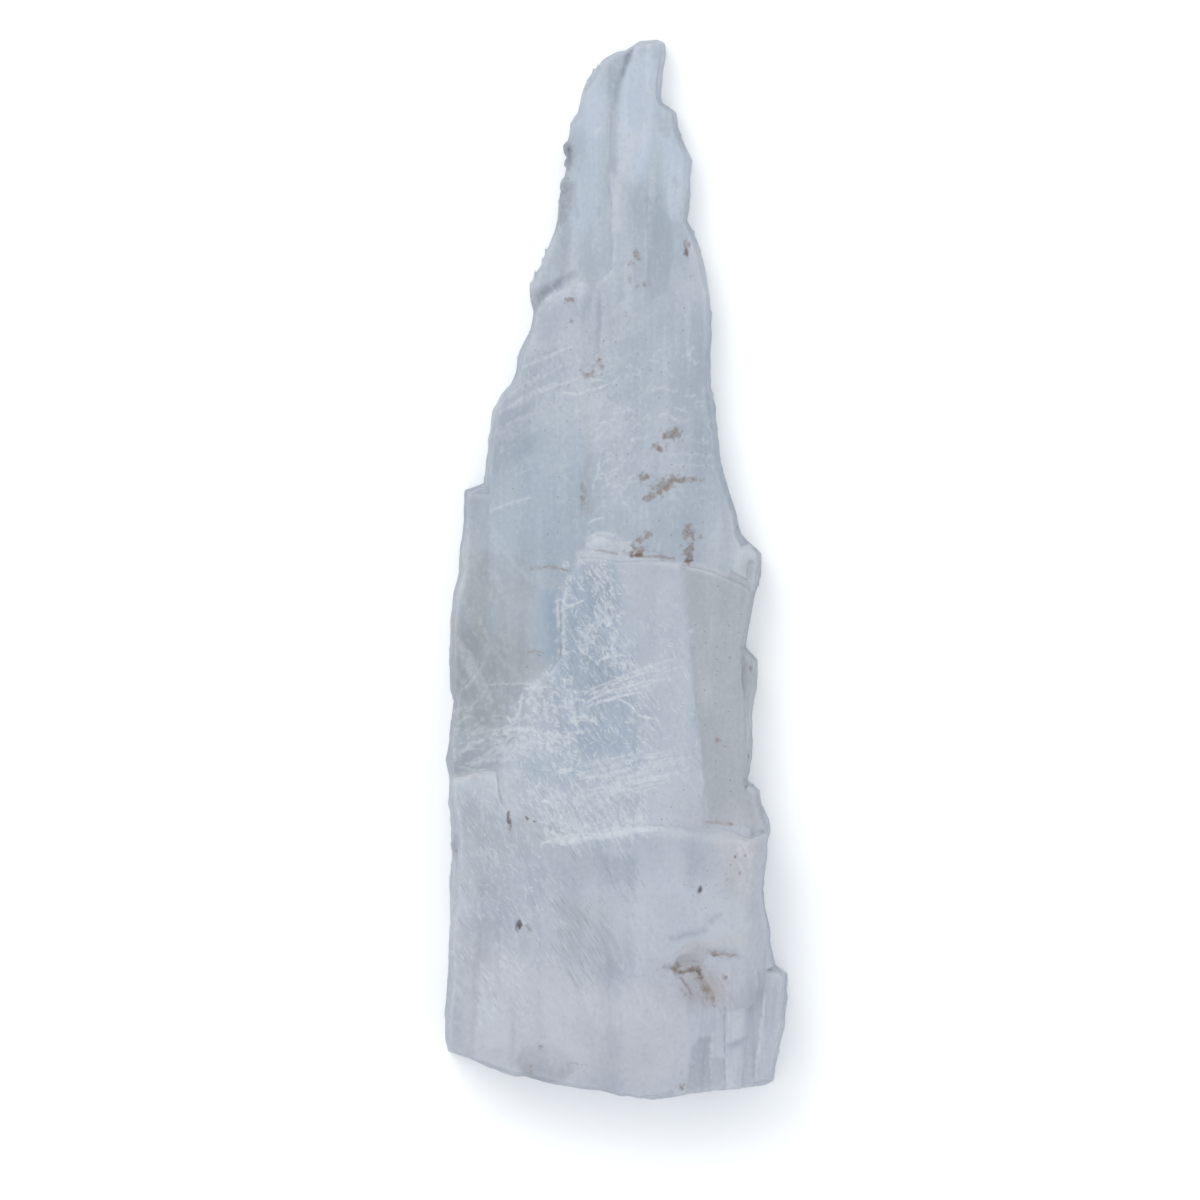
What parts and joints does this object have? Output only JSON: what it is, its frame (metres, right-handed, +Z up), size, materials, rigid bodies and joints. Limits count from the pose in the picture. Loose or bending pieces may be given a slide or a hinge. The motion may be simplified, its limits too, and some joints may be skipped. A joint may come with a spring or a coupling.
{
  "type": "selenite slab",
  "caption": "Long tapering slab of pale translucent crystal with stepped cleavage ledges, ragged edges, a ridged narrow tip and a thick broken end.",
  "frame": {"origin": "on the surface the slab lies on, under the middle of its bounding box", "axes": "+Y along the slab towards its narrow tip, +Z up out of the stepped face, +X across the slab to the right"},
  "size_m": [0.097, 0.3, 0.0251],
  "materials": {
    "selenite": "translucent, satin, milky along fractures"
  },
  "bodies": {
    "root": {"selenite_slab": "selenite"}
  },
  "joints": []
}
